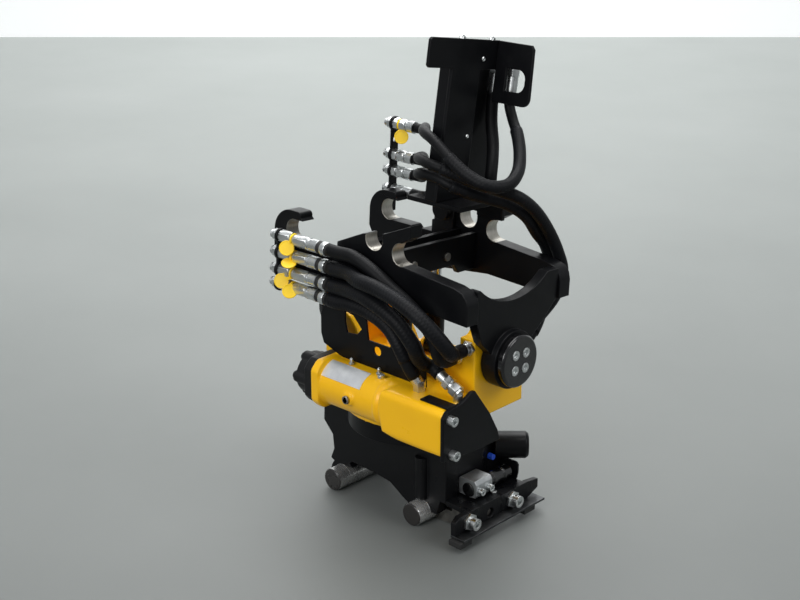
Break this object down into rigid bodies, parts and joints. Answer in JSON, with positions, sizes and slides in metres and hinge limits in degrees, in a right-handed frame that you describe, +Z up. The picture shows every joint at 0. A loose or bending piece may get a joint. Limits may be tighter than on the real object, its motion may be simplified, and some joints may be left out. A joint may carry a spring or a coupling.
{
  "type": "excavator tilt rotator",
  "caption": "Excavator tilt rotator: lower tool hitch with pins, worm driven yellow rotor, tilting black hook bracket with tilt cylinders, hose bars and a hose tower.",
  "frame": {"origin": "on the floor, straight under the rotation axis, with the tool pins resting on the floor", "axes": "+Z up along the rotation axis, +X along the tilt axis towards the thick bolted tilt cap, +Y away from the worm tube"},
  "size_m": [0.449, 0.345, 0.7967],
  "materials": {
    "black_paint": "satin black paint",
    "black_gloss": "gloss black paint",
    "black_cast": "matt black",
    "yellow_paint": "satin yellow paint",
    "zinc": "zinc plated",
    "galvanised": "galvanised",
    "steel": "bare machined",
    "chrome": "hard chrome",
    "bronze": "bare bronze",
    "blue_plastic": "blue",
    "tag_plastic": "orange yellow",
    "plate_metal": "bare sheet, no text",
    "foot_rubber": "matt",
    "hose_rubber": "matt wrapped hose"
  },
  "bodies": {
    "lower_hitch": {"hitch_frame": "black_paint", "turntable": "black_paint", "swivel_core": "steel", "worm_wheel": "bronze", "front_tool_pin": "steel", "rear_tool_pin": "steel", "lock_cylinder": "black_gloss", "clamp_block": "galvanised", "clamp_bolts": "zinc", "coupling_cap": "black_paint", "port_plug": "blue_plastic", "front_beam": "black_paint", "beam_lip": "galvanised", "beam_feet": "foot_rubber", "beam_bolts": "zinc"},
    "lock": {"lock_wedge": "steel"},
    "rotor": {"rotor_housing": "yellow_paint", "tilt_bushes": "bronze", "drive_motor": "black_cast", "motor_bolts": "black_cast", "front_shield": "black_paint", "shield_bolts": "zinc", "side_guard": "black_paint", "grease_nipples": "zinc", "worm_plug": "black_cast", "data_plate": "plate_metal", "hose_ports": "zinc", "lower_cylinder_pins": "steel"},
    "worm": {"worm_shaft": "steel"},
    "cylinder_near": {"barrel_near": "black_paint"},
    "cylinder_far": {"barrel_far": "black_paint"},
    "rod_near": {"piston_rod_near": "chrome"},
    "rod_far": {"piston_rod_far": "chrome"},
    "top_bracket": {"hook_plate_near": "black_paint", "hook_plate_far": "black_paint", "front_plate": "black_paint", "rear_plate": "black_paint", "cross_plates": "black_paint", "tilt_pins": "steel", "tilt_caps": "black_paint", "cap_bolts": "zinc", "upper_cylinder_pins": "steel", "tower_base": "black_paint", "tower_column": "black_paint", "tower_guard": "black_paint", "tower_fittings": "zinc", "hose_bar_near": "black_paint", "hose_bar_far": "black_paint", "near_fittings": "zinc", "far_fittings": "zinc", "hose_tags": "tag_plastic", "lower_hose_1": "hose_rubber", "lower_hose_2": "hose_rubber", "lower_hose_3": "hose_rubber", "lower_hose_4": "hose_rubber", "upper_hose_1": "hose_rubber", "upper_hose_2": "hose_rubber", "upper_hose_3": "hose_rubber", "upper_hose_4": "hose_rubber", "tower_hose": "hose_rubber"}
  },
  "joints": [
    {"name": "rotate", "type": "hinge", "parent": "lower_hitch", "child": "rotor", "pos_m": [0, 0, 0.2], "axis": [0, 0, 1], "continuous": true},
    {"name": "worm_turn", "type": "hinge", "parent": "rotor", "child": "worm", "pos_m": [0, -0.1, 0.225], "axis": [1, 0, 0], "continuous": true},
    {"name": "tilt", "type": "hinge", "parent": "rotor", "child": "top_bracket", "pos_m": [0, 0, 0.315], "axis": [1, 0, 0], "range_deg": [-36.65, 43.35], "deforming": ["lower_hose_1", "lower_hose_2", "lower_hose_3", "lower_hose_4", "upper_hose_2", "upper_hose_3"]},
    {"name": "swing_near", "type": "hinge", "parent": "rotor", "child": "cylinder_near", "pos_m": [0.005, -0.04, 0.27], "axis": [1, 0, 0], "range_deg": [-27.3, 32.3]},
    {"name": "swing_far", "type": "hinge", "parent": "rotor", "child": "cylinder_far", "pos_m": [0.005, 0.04, 0.27], "axis": [1, 0, 0], "range_deg": [-27.3, 32.3]},
    {"name": "slide_near", "type": "slide", "parent": "cylinder_near", "child": "rod_near", "axis": [0, 0.0421, 0.9991], "range_m": [-0.0294, 0.0249]},
    {"name": "slide_far", "type": "slide", "parent": "cylinder_far", "child": "rod_far", "axis": [0, 0.0425, 0.9991], "range_m": [-0.0249, 0.0294]},
    {"name": "lock_slide", "type": "slide", "parent": "lower_hitch", "child": "lock", "axis": [1, 0, 0], "range_m": [0, 0.03]}
  ],
  "couplings": [
    {"joint": "worm_turn", "follows": "rotate", "ratio": 36},
    {"joint": "swing_near", "follows": "tilt", "ratio": 0.7387},
    {"joint": "swing_far", "follows": "tilt", "ratio": 0.7387},
    {"joint": "slide_near", "follows": "tilt", "m_per_rad": -0.03867},
    {"joint": "slide_far", "follows": "tilt", "m_per_rad": 0.03867}
  ]
}
